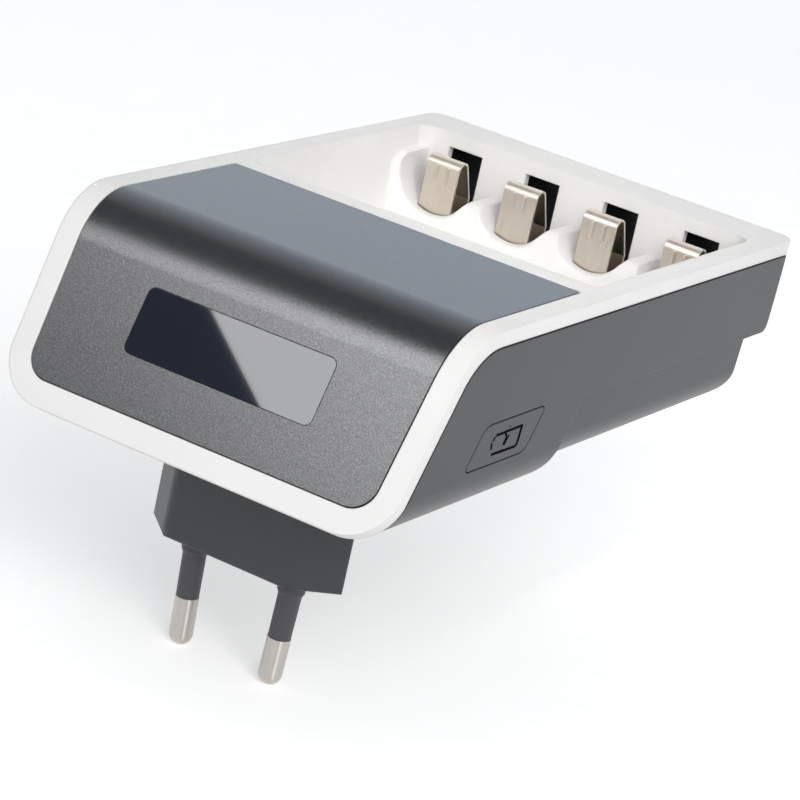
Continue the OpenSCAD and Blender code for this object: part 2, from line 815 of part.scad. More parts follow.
// Outline of the plug's body seen from below, with 45 degree facets that meet at its ends
module plug_outline(grow) {
    t = plug_t / 2 + grow;
    w = plug_point + grow * sqrt(2);
    f = w - t;
    rounded([[f, -t], [w, 0], [f, t], [-f, t], [-w, 0], [-f, -t]],
            [plug_edge_r, plug_tip_r, plug_edge_r, plug_edge_r, plug_tip_r, plug_edge_r]);
}

// Slab through the plug with a rounded lower edge, turned by a about the upright axis
module plug_slab(a, half) {
    high = plug_top + past;
    rotate([0, 0, a]) across(2 * plug_w)
        rounded([[-half, high], [half, high], [half, 0], [-half, 0]], [0, 0, plug_r, plug_r]);
}

// Moulded plug body with the flange that holds it in the housing
module plug_block() {
    facet = plug_point / sqrt(2);
    color("darkslategray") difference() {
        union() {
            intersection() {
                linear_extrude(plug_top) plug_outline(0);
                plug_slab(0, plug_t / 2);
                plug_slab(45, facet);
                plug_slab(-45, facet);
            }
            translate([0, 0, deep_z + wall]) linear_extrude(plug_lip_t) plug_outline(plug_lip);
        }
        for (side = [-1, 1])
            on_pin(side) translate([0, 0, -pin_l]) cylinder(d = core_d + 2 * core_gap, h = 3 * pin_l);
    }
}

// Frame of a pin: its axis is z, and z = 0 lies on the plug's face
module on_pin(side) {
    translate([side * pin_base / 2, 0, 0]) rotate([0, side * pin_lean, 0]) children();
}

// Contact pin with its bare round-ended tip, its thinner core and its head inside the plug
module contact_pin(side) {
    color("silver") intersection() {
        union() {
            on_pin(side) {
                translate([0, 0, -sleeve_l]) cylinder(d = core_d, h = sleeve_l + pin_top + past);
                translate([0, 0, -pin_l + pin_d / 2]) {
                    sphere(d = pin_d);
                    cylinder(d = pin_d, h = pin_l - sleeve_l - pin_d / 2);
                }
            }
            intersection() {
                on_pin(side) translate([0, 0, plug_top - past]) cylinder(d = head_d, h = head_h + 2 * past);
                translate([-body_w / 2, -head_d, plug_top]) cube([body_w, 2 * head_d, head_h]);
            }
        }
        translate([-body_w / 2, -head_d, -2 * pin_l]) cube([body_w, 2 * head_d, 2 * pin_l + pin_top]);
    }
}

module pin_left() { contact_pin(-1); }
module pin_right() { contact_pin(1); }

// Insulating sleeve on the root of a pin, with a collar at the plug's face
module pin_sleeve(side) {
    color("dimgray") intersection() {
        on_pin(side) difference() {
            union() {
                translate([0, 0, -sleeve_l])
                    cylinder(d1 = sleeve_end_d, d2 = sleeve_d, h = sleeve_l - collar_l);
                translate([0, 0, -collar_l - collar_cone])
                    cylinder(d1 = sleeve_d, d2 = collar_d, h = collar_cone);
                translate([0, 0, -collar_l]) cylinder(d = collar_d, h = collar_l + past);
            }
            translate([0, 0, -sleeve_l - past]) cylinder(d = core_d + 2 * core_gap, h = sleeve_l + 3 * past);
        }
        translate([-body_w / 2, -pin_d, -pin_l]) cube([body_w, 2 * pin_d, pin_l]);
    }
}

module sleeve_left() { pin_sleeve(-1); }
module sleeve_right() { pin_sleeve(1); }

// Two bent strips that join the pins' heads to the main board
module pin_terminals() {
    x = pin_base / 2 + pin_top * tan(pin_lean);
    color("goldenrod") for (side = [-1, 1]) translate([side * x, 0, pin_top]) {
        translate([-pin_d / 2, -terminal_w / 2, 0]) cube([pin_d, terminal_w, terminal_t]);
        translate([side > 0 ? pin_d / 2 - terminal_t : -pin_d / 2, -terminal_w / 2, 0])
            cube([terminal_t, terminal_w, board_z - pin_top]);
    }
}

// Outline of the side button, a slanted field with two round and two tight corners
module button_outline(grow) {
    w = button_w / 2 + grow / slope_sin;
    h = button_h / 2 + grow;
    k = h / tan(slope_a);
    rounded([[-w + k, h], [w + k, h], [w - k, -h], [-w - k, -h]],
            [button_r + grow, button_tight_r + grow, button_r + grow, button_tight_r + grow]);
}

// Part of the button's outline between two depths below the side wall's face
module button_layer(grow, from, to) {
    intersection() {
        translate([board_x, button_y, button_z]) rotate([90, 0, 90])
            linear_extrude(body_w) button_outline(grow);
        difference() {
            along(-reach, reach) front(from, 0, rim_h);
            along(-2 * reach, 2 * reach) front(to, -past, rim_h + past);
        }
    }
}

// Push button in the side wall: its face, its flange and its stem
module side_button() {
    lip = wall + button_gap;
    color("dimgray") {
        button_layer(0, 0, lip + button_lip_t);
        button_layer(button_lip, lip, lip + button_lip_t);
        translate([stem_end, button_y, button_z]) rotate([0, 90, 0])
            cylinder(d = stem_d, h = half_at(button_z) - lip - button_lip_t / 2 - stem_end);
    }
}

// Plunger of the push switch, which the button's stem pushes
module switch_plunger() {
    color("black") translate([stem_end - plunger_out - plunger_in, button_y, button_z]) rotate([0, 90, 0])
        cylinder(d = plunger_d, h = plunger_out + plunger_in);
}

// Push switch on the main board's edge
module button_switch() {
    deep = plunger_in + button_travel + plunger_gap;
    h = 2 * (button_z - board_top);
    color("lightgray") difference() {
        translate([board_x - switch_size[0], button_y - switch_size[1] / 2, board_top])
            cube([switch_size[0], switch_size[1], h]);
        translate([board_x - deep, button_y, button_z]) rotate([0, 90, 0])
            cylinder(d = plunger_d + 2 * plunger_gap, h = deep + past);
    }
}

// Main board on the bosses of the housing
module main_board() {
    l = board_far - board_front;
    color("seagreen") translate([0, board_front, board_z]) linear_extrude(board_t) difference() {
        translate([-board_x, 0]) square([2 * board_x, l]);
        for (x = [-board_screw_x, board_screw_x], y = board_screw_y)
            translate([x, y - board_front]) circle(d = board_screw_d + 2 * screw_gap);
    }
}

// Width of the windows on both sides of the core's middle leg
function core_window() = (core_size[0] - core_leg) / 2 - core_yoke;

// Ferrite core with a middle leg and two outer legs
module transformer_core() {
    color("darkslategray") translate([core_at[0], core_at[1], board_top]) rotate([90, 0, 0])
        linear_extrude(core_size[1], center = true) difference() {
            translate([-core_size[0] / 2, 0]) square([core_size[0], core_size[2]]);
            for (x = [-core_leg / 2 - core_window(), core_leg / 2])
                translate([x, core_yoke]) square([core_window(), core_size[2] - 2 * core_yoke]);
        }
}

// Wound coil round the core's middle leg
module transformer_coil() {
    w = core_leg + 2 * core_window() - 2 * coil_gap;
    hole = [core_leg, core_size[1]] + 2 * [coil_gap, coil_gap];
    color("gold") translate([core_at[0], core_at[1], board_top + core_yoke + coil_gap])
        linear_extrude(core_size[2] - 2 * core_yoke - 2 * coil_gap) difference() {
            rounded_box(w, coil_depth, core_leg / 2);
            square(hole, center = true);
        }
}

// Capacitor can with a rolled groove above its seal
module capacitor(at, d, h) {
    translate([at[0], at[1], board_top]) rotate_extrude() difference() {
        square([d / 2, h]);
        translate([d / 2, h / 5]) circle(can_groove);
    }
}

module input_capacitor() { color("black") capacitor(in_cap_at, in_cap_d, in_cap_h); }

module output_capacitors() {
    color("black") for (side = [-1, 1])
        capacitor([side * out_cap_at[0], out_cap_at[1]], out_cap_d, out_cap_h);
}

// Block that stands on the main board, given by its middle and its size
module on_board(at, size) {
    translate([at[0] - size[0] / 2, at[1] - size[1] / 2, board_top]) cube(size);
}

module rectifier() { color("black") on_board(rectifier_at, rectifier_size); }

module controller_chip() { color("black") on_board(chip_at, chip_size); }

// One charge transistor for each bay, with its metal tab
module charge_transistors() {
    tab = [transistor_size[0] - transistor_tab / 2, transistor_size[1] + transistor_tab, terminal_t];
    color("black") for (x = bay_x) {
        on_board([x, transistor_y], transistor_size);
        on_board([x, transistor_y + transistor_tab / 2], tab);
    }
}

// Round fuse that stands on the main board
module fuse() {
    color("saddlebrown") translate([fuse_at[0], fuse_at[1], board_top]) cylinder(d = fuse_d, h = fuse_h);
}

// Side view of a spring contact: a free leg, a top bend, and a back leg that turns down to its root
module spring_view() {
    inner = hairpin_r - strip_t;
    bend = [leg_front + hairpin_r, rim_h - hairpin_d - hairpin_r];
    knee = [root_at + strip_t / 2, rim_h - knee_d];
    to_knee = knee - bend;
    lean = atan2(to_knee[1], to_knee[0]) + acos(hairpin_r / norm(to_knee));
    out = [cos(lean), sin(lean)];
    foot = board_top + board_gap / 2;
    leg_end = rim_h - leg_end_d;
    translate([leg_front, leg_end]) square([strip_t, bend[1] - leg_end]);
    difference() {
        translate(bend) circle(hairpin_r);
        translate(bend) circle(inner);
        polygon([bend, bend + reach * out, [reach, -reach], [-reach, -reach], bend - [reach, 0]]);
    }
    polygon([bend + hairpin_r * out, knee, knee - strip_t * out, bend + inner * out]);
    translate([root_at - strip_t / 2, foot]) square([strip_t, knee[1] - foot]);
}

// Sprung contact for a cell's flat end, with two ribs pressed into its free leg
module spring_contact(i) {
    color("silver") translate([bay_x[i], 0, 0]) {
        across(strip_w) spring_view();
        for (side = [-1, 1])
            translate([side * rib_x, leg_front + rib_r - rib_out, rim_h - hairpin_d - hairpin_r - rib_l]) {
                cylinder(r = rib_r, h = rib_l);
                sphere(rib_r);
                translate([0, 0, rib_l]) sphere(rib_r);
            }
    }
}

module negative_contact_1() { spring_contact(0); }
module negative_contact_2() { spring_contact(1); }
module negative_contact_3() { spring_contact(2); }
module negative_contact_4() { spring_contact(3); }

// Fixed contact for a cell's raised end
module plate_contact(i) {
    color("silver") translate([bay_x[i], near_y + plate_y, 0]) {
        translate([-strip_w / 2, -strip_t, board_top]) cube([strip_w, strip_t, rim_h - plate_d - board_top]);
        translate([0, -strip_t / 2, trough_z]) rotate([-90, 0, 0])
            cylinder(d = spot_d, h = strip_t / 2 + spot_h);
    }
}

module positive_contact_1() { plate_contact(0); }
module positive_contact_2() { plate_contact(1); }
module positive_contact_3() { plate_contact(2); }
module positive_contact_4() { plate_contact(3); }

// Screw whose head's bearing face is at z = 0 and whose shank points up
module screw(d, l, head_d, head_h) {
    slot = d / 4;
    difference() {
        union() {
            cylinder(d = d, h = l);
            translate([0, 0, -head_h]) cylinder(d = head_d, h = head_h);
        }
        for (a = [0, 90]) rotate([0, 0, a])
            translate([-d / 2, -slot / 2, -head_h - past]) cube([d, slot, past + head_h / 2]);
    }
}

// Screws that hold the housing to the tray's posts
module housing_screws() {
    color("silver") for (x = [-screw_x, screw_x], y = screw_y)
        translate([x, y, belly_z + screw_sink + screw_head_h])
            screw(screw_d, screw_l, screw_head_d, screw_head_h);
}

// Screws that hold both boards
module board_screws() {
    color("silver") {
        for (x = [-board_screw_x, board_screw_x], y = board_screw_y)
            translate([x, y, board_top]) mirror([0, 0, 1])
                screw(board_screw_d, board_screw_l, board_head_d, board_head_h);
        for (x = [-panel_screw_x, panel_screw_x])
            on_slope() translate([x, -window_s, -panel_back])
                screw(board_screw_d, board_screw_l, board_head_d, board_head_h);
    }
}

top_frame();
display_cover();
display_window();
lcd_panel();
lcd_holder();
display_board();
display_ribbon();
lower_housing();
plug_block();
pin_left();
pin_right();
sleeve_left();
sleeve_right();
pin_terminals();
side_button();
switch_plunger();
button_switch();
main_board();
transformer_core();
transformer_coil();
input_capacitor();
output_capacitors();
rectifier();
fuse();
controller_chip();
charge_transistors();
negative_contact_1();
negative_contact_2();
negative_contact_3();
negative_contact_4();
positive_contact_1();
positive_contact_2();
positive_contact_3();
positive_contact_4();
housing_screws();
board_screws();
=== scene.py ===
# Plug-in charger for four AA cells: the looks of its pieces and the studio that it is shown in.
# Lengths are in metres in the model's own axes: the pins point to -Z and the cells lie towards +Y.
import math

import bpy
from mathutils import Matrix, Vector


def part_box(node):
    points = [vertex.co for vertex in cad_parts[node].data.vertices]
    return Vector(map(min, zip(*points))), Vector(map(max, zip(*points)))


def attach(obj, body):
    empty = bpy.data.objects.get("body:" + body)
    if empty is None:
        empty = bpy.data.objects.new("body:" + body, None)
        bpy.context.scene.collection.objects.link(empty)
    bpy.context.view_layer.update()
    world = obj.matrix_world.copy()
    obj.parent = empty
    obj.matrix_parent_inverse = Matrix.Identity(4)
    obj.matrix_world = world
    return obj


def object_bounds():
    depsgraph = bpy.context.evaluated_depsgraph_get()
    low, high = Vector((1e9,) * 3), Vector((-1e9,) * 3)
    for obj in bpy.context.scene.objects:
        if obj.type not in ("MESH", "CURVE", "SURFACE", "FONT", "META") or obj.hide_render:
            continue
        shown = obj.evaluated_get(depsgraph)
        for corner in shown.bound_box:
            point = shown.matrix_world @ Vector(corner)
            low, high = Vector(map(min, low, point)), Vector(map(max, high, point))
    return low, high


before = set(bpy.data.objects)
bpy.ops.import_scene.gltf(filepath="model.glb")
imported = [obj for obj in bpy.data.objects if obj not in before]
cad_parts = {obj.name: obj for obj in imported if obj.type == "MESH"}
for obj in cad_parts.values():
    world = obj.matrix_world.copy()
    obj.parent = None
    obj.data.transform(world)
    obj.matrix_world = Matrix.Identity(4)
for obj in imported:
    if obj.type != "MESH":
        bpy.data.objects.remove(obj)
cad_low, cad_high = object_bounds()


# Plug block: the body that goes into the socket, with sloped corners and a flange inside the housing.
# It is injection-moulded in dark, heat-proof plastic with a fine satin skin and well-rounded edges.
# The housing's floor grips its flange.
edge_samples = 6


def moulded_surface():
    group = bpy.data.node_groups.new("moulded_surface", "ShaderNodeTree")
    for name in ("Grain Scale", "Grain Height", "Edge Radius"):
        group.interface.new_socket(name, in_out="INPUT", socket_type="NodeSocketFloat")
    group.interface.new_socket("Normal", in_out="OUTPUT", socket_type="NodeSocketVector")
    group.interface.new_socket("Mottle", in_out="OUTPUT", socket_type="NodeSocketFloat")
    group.interface.new_socket("Grain", in_out="OUTPUT", socket_type="NodeSocketFloat")
    nodes, links = group.nodes, group.links
    given = nodes.new("NodeGroupInput")
    result = nodes.new("NodeGroupOutput")
    place = nodes.new("ShaderNodeTexCoord")
    grain = nodes.new("ShaderNodeTexNoise")
    grain.inputs["Detail"].default_value = 0
    mottle = nodes.new("ShaderNodeTexNoise")
    mottle.inputs["Scale"].default_value = 90
    mottle.inputs["Detail"].default_value = 3
    edge = nodes.new("ShaderNodeBevel")
    edge.samples = edge_samples
    bump = nodes.new("ShaderNodeBump")
    bump.inputs["Strength"].default_value = 1
    links.new(place.outputs["Object"], grain.inputs["Vector"])
    links.new(place.outputs["Object"], mottle.inputs["Vector"])
    links.new(given.outputs["Grain Scale"], grain.inputs["Scale"])
    links.new(given.outputs["Grain Height"], bump.inputs["Distance"])
    links.new(given.outputs["Edge Radius"], edge.inputs["Radius"])
    links.new(grain.outputs["Fac"], bump.inputs["Height"])
    links.new(edge.outputs["Normal"], bump.inputs["Normal"])
    links.new(bump.outputs["Normal"], result.inputs["Normal"])
    links.new(mottle.outputs["Fac"], result.inputs["Mottle"])
    links.new(grain.outputs["Fac"], result.inputs["Grain"])
    return group


moulded = moulded_surface()
noise_low, noise_high = 0.3, 0.7


def tint_ramp(nodes, dark, light):
    ramp = nodes.new("ShaderNodeValToRGB")
    first, last = ramp.color_ramp.elements
    first.position = noise_low
    last.position = noise_high
    first.color = (*dark, 1)
    last.color = (*light, 1)
    return ramp


def plastic(name, dark, light, roughness, grain_scale, grain_height, edge_radius,
            specular=0.5, tint_by="Mottle"):
    mat = bpy.data.materials.new(name)
    mat.use_nodes = True
    nodes, links = mat.node_tree.nodes, mat.node_tree.links
    shader = nodes["Principled BSDF"]
    shader.inputs["Roughness"].default_value = roughness
    shader.inputs["Specular IOR Level"].default_value = specular
    skin = nodes.new("ShaderNodeGroup")
    skin.name = "skin"
    skin.node_tree = moulded
    skin.inputs["Grain Scale"].default_value = grain_scale
    skin.inputs["Grain Height"].default_value = grain_height
    skin.inputs["Edge Radius"].default_value = edge_radius
    tint = tint_ramp(nodes, dark, light)
    links.new(skin.outputs[tint_by], tint.inputs["Fac"])
    links.new(tint.outputs["Color"], shader.inputs["Base Color"])
    links.new(skin.outputs["Normal"], shader.inputs["Normal"])
    return mat


def dress(mat, *names):
    for name in names:
        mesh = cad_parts[name].data
        mesh.materials.clear()
        mesh.materials.append(mat)


plug_satin = plastic(
    "plug_satin", dark=(0.031, 0.033, 0.039), light=(0.036, 0.038, 0.044), roughness=0.38,
    grain_scale=6500, grain_height=0.000002, edge_radius=0.0014)
dress(plug_satin, "plug_block")


# Pins: round rods with domed tips, turned from brass and plated with nickel, pressed into the plug block.
# The turning leaves fine rings, which draw the light out along the pin.
# Brass strips lead from their inner ends to the main board.
def drawn_surface():
    group = bpy.data.node_groups.new("drawn_surface", "ShaderNodeTree")
    group.interface.new_socket("Stretch", in_out="INPUT", socket_type="NodeSocketVector")
    group.interface.new_socket("Edge Radius", in_out="INPUT", socket_type="NodeSocketFloat")
    group.interface.new_socket("Marks", in_out="OUTPUT", socket_type="NodeSocketFloat")
    group.interface.new_socket("Normal", in_out="OUTPUT", socket_type="NodeSocketVector")
    nodes, links = group.nodes, group.links
    given = nodes.new("NodeGroupInput")
    result = nodes.new("NodeGroupOutput")
    place = nodes.new("ShaderNodeTexCoord")
    stretch = nodes.new("ShaderNodeMapping")
    marks = nodes.new("ShaderNodeTexNoise")
    marks.inputs["Scale"].default_value = 1
    marks.inputs["Detail"].default_value = 4
    edge = nodes.new("ShaderNodeBevel")
    edge.samples = edge_samples
    links.new(place.outputs["Object"], stretch.inputs["Vector"])
    links.new(given.outputs["Stretch"], stretch.inputs["Scale"])
    links.new(stretch.outputs["Vector"], marks.inputs["Vector"])
    links.new(given.outputs["Edge Radius"], edge.inputs["Radius"])
    links.new(marks.outputs["Fac"], result.inputs["Marks"])
    links.new(edge.outputs["Normal"], result.inputs["Normal"])
    return group


drawn = drawn_surface()
polish_spread = 0.25


def metal(name, dark, light, roughness, stretch, edge_radius):
    mat = bpy.data.materials.new(name)
    mat.use_nodes = True
    nodes, links = mat.node_tree.nodes, mat.node_tree.links
    shader = nodes["Principled BSDF"]
    shader.inputs["Metallic"].default_value = 1
    skin = nodes.new("ShaderNodeGroup")
    skin.node_tree = drawn
    skin.inputs["Stretch"].default_value = stretch
    skin.inputs["Edge Radius"].default_value = edge_radius
    tint = tint_ramp(nodes, dark, light)
    polish = nodes.new("ShaderNodeMapRange")
    polish.inputs["To Min"].default_value = roughness * (1 - polish_spread)
    polish.inputs["To Max"].default_value = roughness * (1 + polish_spread)
    links.new(skin.outputs["Marks"], tint.inputs["Fac"])
    links.new(skin.outputs["Marks"], polish.inputs["Value"])
    links.new(tint.outputs["Color"], shader.inputs["Base Color"])
    links.new(polish.outputs["Result"], shader.inputs["Roughness"])
    links.new(skin.outputs["Normal"], shader.inputs["Normal"])
    return mat


pins = ("pin_left", "pin_right")
nickel_rod = metal(
    "nickel_rod", dark=(0.56, 0.525, 0.485), light=(0.66, 0.625, 0.585), roughness=0.44,
    stretch=(900, 900, 120), edge_radius=0.0002)
rings = nickel_rod.node_tree.nodes.new("ShaderNodeTangent")
rings.direction_type = "RADIAL"
rings.axis = "Z"
rod_shader = nickel_rod.node_tree.nodes["Principled BSDF"]
rod_shader.inputs["Anisotropic"].default_value = 0.9
rod_shader.inputs["Anisotropic Rotation"].default_value = 0.25
nickel_rod.node_tree.links.new(rings.outputs["Tangent"], rod_shader.inputs["Tangent"])
dress(nickel_rod, *pins)
brass_strip = metal(
    "brass_strip", dark=(0.62, 0.43, 0.16), light=(0.72, 0.52, 0.22), roughness=0.3,
    stretch=(700, 700, 200), edge_radius=0.0001)
dress(brass_strip, "pin_terminals")

# Sleeves: insulating tubes with a short collar, round the roots of the pins.
# They are moulded in a softer, duller plastic and pushed on the pins up to the plug's face.
sleeve_plastic = plastic(
    "sleeve_plastic", dark=(0.06, 0.06, 0.067), light=(0.067, 0.067, 0.074), roughness=0.5,
    grain_scale=5000, grain_height=0.000003, edge_radius=0.0002)
dress(sleeve_plastic, "sleeve_left", "sleeve_right")

# Lower housing: the dark shell under the white rim, deep over the plug and shallow under the cells.
# It is moulded in dark grey plastic with a fine satin texture.
# Four screws from below hold it to the posts of the tray.
housing_satin = plastic(
    "housing_satin", dark=(0.03, 0.032, 0.0375), light=(0.034, 0.036, 0.0415), roughness=0.32,
    grain_scale=6500, grain_height=0.000002, edge_radius=0.0003, specular=0.41)
dress(housing_satin, "lower_housing")

# Boards: the main board over the plug and the small board behind the display.
# They are cut from glass-fibre laminate and coated with green solder lacquer.
board_lacquer = plastic(
    "board_lacquer", dark=(0.012, 0.075, 0.03), light=(0.02, 0.11, 0.045), roughness=0.4,
    grain_scale=900, grain_height=0.00001, edge_radius=0.0002)
dress(board_lacquer, "main_board", "display_board")

# Power parts: transformer, capacitors and fuse, soldered to the main board.
# The core is pressed ferrite under a coil wound with yellow tape.
# The capacitors' cans have a dark shrunk film, and the fuse a brown moulded case.
ferrite = plastic(
    "ferrite", dark=(0.03, 0.03, 0.032), light=(0.05, 0.05, 0.053), roughness=0.6,
    grain_scale=1500, grain_height=0.00003, edge_radius=0.0002)
dress(ferrite, "transformer_core")
coil_tape = plastic(
    "coil_tape", dark=(0.6, 0.42, 0.04), light=(0.7, 0.52, 0.07), roughness=0.25,
    grain_scale=500, grain_height=0.000006, edge_radius=0.0002)
dress(coil_tape, "transformer_coil")
can_film = plastic(
    "can_film", dark=(0.015, 0.018, 0.03), light=(0.025, 0.03, 0.045), roughness=0.25,
    grain_scale=500, grain_height=0.000003, edge_radius=0.0002)
dress(can_film, "input_capacitor", "output_capacitors")
fuse_case = plastic(
    "fuse_case", dark=(0.09, 0.04, 0.025), light=(0.13, 0.06, 0.035), roughness=0.4,
    grain_scale=1200, grain_height=0.000006, edge_radius=0.0002)
dress(fuse_case, "fuse")

# Chips and push switch: rectifier, charge controller, a transistor for each bay, and the button's switch.
# The chips are moulded in black resin. The switch is a folded steel can with a black plunger.
# All are soldered to the main board.
black_resin = plastic(
    "black_resin", dark=(0.012, 0.012, 0.012), light=(0.02, 0.02, 0.02), roughness=0.5,
    grain_scale=2500, grain_height=0.00001, edge_radius=0.0002)
dress(black_resin, "rectifier", "controller_chip", "charge_transistors", "switch_plunger")
switch_steel = metal(
    "switch_steel", dark=(0.48, 0.48, 0.49), light=(0.58, 0.58, 0.59), roughness=0.32,
    stretch=(500, 500, 500), edge_radius=0.0001)
dress(switch_steel, "button_switch")

# Side button: a slanted key, flush with the housing's side and moulded in the same plastic.
# It slides in its opening against the switch's plunger.
# The sign of a cell on its face is dull black ink, printed in strokes about the face's middle.
dress(housing_satin, "side_button")
icon_ink = plastic(
    "icon_ink", dark=(0.004, 0.004, 0.005), light=(0.007, 0.007, 0.008), roughness=0.9,
    grain_scale=2000, grain_height=0.000004, edge_radius=0.0, specular=0.02)
ink_thickness = 0.00002
side_draft = math.radians(3)
button_low, button_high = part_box("side_button")
icon_at = (button_low + button_high) / 2


def on_button(y, z):
    height = icon_at.z + z
    inset = (cad_high.z - height) * math.tan(side_draft)
    return Vector((cad_high.x - inset + ink_thickness, icon_at.y + y, height))


def stroke(name, width, *path):
    verts, faces = [], []
    for (y0, z0), (y1, z1) in zip(path, path[1:]):
        to_side = width / 2 / math.hypot(y1 - y0, z1 - z0)
        side_y = (z0 - z1) * to_side
        side_z = (y1 - y0) * to_side
        first = len(verts)
        verts.append(on_button(y0 - side_y, z0 - side_z))
        verts.append(on_button(y1 - side_y, z1 - side_z))
        verts.append(on_button(y1 + side_y, z1 + side_z))
        verts.append(on_button(y0 + side_y, z0 + side_z))
        faces.append(tuple(range(first, first + 4)))
    mesh = bpy.data.meshes.new(name)
    mesh.from_pydata(verts, [], faces)
    mesh.materials.append(icon_ink)
    obj = bpy.data.objects.new(name, mesh)
    bpy.context.collection.objects.link(obj)
    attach(obj, "button")


stroke("icon_outline", 0.0005, (-0.0037, 0.00135), (0.0047, 0.0015), (0.0047, -0.0015),
       (0.0043, -0.00205), (-0.0036, -0.00195))
stroke("icon_end", 0.00072, (0.0046, 0.0016), (0.0046, -0.0015), (0.00425, -0.002))
stroke("icon_cap_upper", 0.00048, (-0.0038, 0.00115), (-0.0044, 0.0005))
stroke("icon_cap_lower", 0.00052, (-0.0045, 0.0002), (-0.0041, -0.001))
stroke("icon_bar", 0.0005, (-0.00085, 0.0015), (0.0001, 0.0004), (-0.0004, -0.0009))
stroke("icon_second_bar", 0.00055, (0.0008, 0.0006), (-0.00005, -0.001))
stroke("icon_upper_tick", 0.0003, (0.00035, 0.0023), (0.0003, 0.00195))
stroke("icon_lower_tick", 0.0003, (-0.00035, -0.00165), (-0.00005, -0.00235))

# Top frame: the bent rim, the ledge under the cover and the cell tray with its cradles, all one moulding.
# It is a white satin plastic, slightly warm, with its edges broken by the mould.
# It sits on the lower housing and takes the screws in its posts.
white_satin = plastic(
    "white_satin", dark=(0.89, 0.877, 0.862), light=(0.91, 0.897, 0.882), roughness=0.5,
    grain_scale=4000, grain_height=0.000001, edge_radius=0.0004, specular=0.3)
dress(white_satin, "top_frame")

# Contacts: four hairpin springs at the cells' flat ends and four fixed ones at their raised ends.
# Each is stamped and bent from nickel-plated strip with faint marks of the rolling.
# The springs stand in slots of the tray's far wall, and the fixed ones are fitted to its near wall.
bays = (1, 2, 3, 4)
negative_contacts = ["negative_contact_%d" % bay for bay in bays]
positive_contacts = ["positive_contact_%d" % bay for bay in bays]
nickel_strip = metal(
    "nickel_strip", dark=(0.73, 0.655, 0.57), light=(0.78, 0.705, 0.615), roughness=0.3,
    stretch=(900, 600, 150), edge_radius=0.0001)
dress(nickel_strip, *negative_contacts, *positive_contacts)

# Display: a liquid-crystal glass in a white moulded holder, joined to the main board by a flat cable.
# The glass is grey-green with its segments off, and the cable's film is amber.
# Holder and glass are set on the display board, close behind the window.
display_glass = plastic(
    "display_glass", dark=(0.22, 0.27, 0.22), light=(0.26, 0.31, 0.26), roughness=0.12,
    grain_scale=300, grain_height=0.000001, edge_radius=0.0001)
dress(display_glass, "lcd_panel")
dress(white_satin, "lcd_holder")
cable_film = plastic(
    "cable_film", dark=(0.62, 0.56, 0.42), light=(0.7, 0.64, 0.5), roughness=0.35,
    grain_scale=700, grain_height=0.000004, edge_radius=0.0001)
dress(cable_film, "display_ribbon")

# Display cover: a dark panel bent round the edge between top and slope, and bonded to the rim's ledge.
# It is moulded with a spark-eroded grain, and the grain's peaks are polished.
# The peaks shine more than the dips, so the coat follows the grain; the tint's lighter peaks and darker
# dips are painted glints and painted shade.
cover_roughness = 0.27
coat_on_dips = 0.04
coat_on_peaks = 0.18
# The tint runs from dark in the grain's dips to lighter on its peaks: painted shade in the dips and painted
# glints on the peaks.
cover_texture = plastic(
    "cover_texture", dark=(0.004, 0.0055, 0.01), light=(0.017, 0.0195, 0.026), roughness=cover_roughness,
    grain_scale=4300, grain_height=0.000003, edge_radius=0.00012, specular=0.45, tint_by="Grain")
cover_nodes, cover_links = cover_texture.node_tree.nodes, cover_texture.node_tree.links
cover_shader = cover_nodes["Principled BSDF"]
cover_shader.inputs["Coat Roughness"].default_value = cover_roughness
cover_shader.inputs["Coat IOR"].default_value = 2
sparkle = cover_nodes.new("ShaderNodeMapRange")
sparkle.inputs["From Min"].default_value = noise_low
sparkle.inputs["From Max"].default_value = noise_high
sparkle.inputs["To Min"].default_value = coat_on_dips
sparkle.inputs["To Max"].default_value = coat_on_peaks
cover_links.new(cover_nodes["skin"].outputs["Grain"], sparkle.inputs["Value"])
cover_links.new(sparkle.outputs["Result"], cover_shader.inputs["Coat Weight"])
dress(cover_texture, "display_cover")

# Display window: a flat pane of polished plastic, so dark that the display doesn't show when it is off.
# It is bonded into the cover's opening, flush with the slope.
window_tint = plastic(
    "window_tint", dark=(0.0175, 0.0215, 0.0325), light=(0.0185, 0.0225, 0.0345), roughness=0.022,
    grain_scale=60, grain_height=0.0000008, edge_radius=0.00006, specular=0.45)
dress(window_tint, "display_window")

# Screws: four from below through the housing into the tray's posts, and six that hold the boards.
# They are pan heads of steel with a bright zinc coat.
zinc_screw = metal(
    "zinc_screw", dark=(0.45, 0.45, 0.46), light=(0.58, 0.58, 0.59), roughness=0.35,
    stretch=(800, 800, 800), edge_radius=0.0001)
dress(zinc_screw, "housing_screws", "board_screws")

# Camera: a long lens at the photograph's angle, from the front right and above, a little rolled.
# The lamps further on stand where the cover mirrors its line of sight.
lens = bpy.data.cameras.new("camera")
lens.lens = 154.13
lens.sensor_width = 36
lens.clip_start = 0.05
lens.clip_end = 20
camera = bpy.data.objects.new("camera", lens)
bpy.context.collection.objects.link(camera)
camera_tilt = math.radians(71.328)
camera_roll = math.radians(-11.982)
camera_turn = math.radians(31.372)
camera.location = (0.2545, -0.45082, 0.202)
camera.rotation_euler = (camera_tilt, camera_roll, camera_turn)
to_camera = camera.rotation_euler.to_matrix().col[2]
bpy.context.scene.camera = camera
bpy.context.scene.view_settings.view_transform = "Standard"


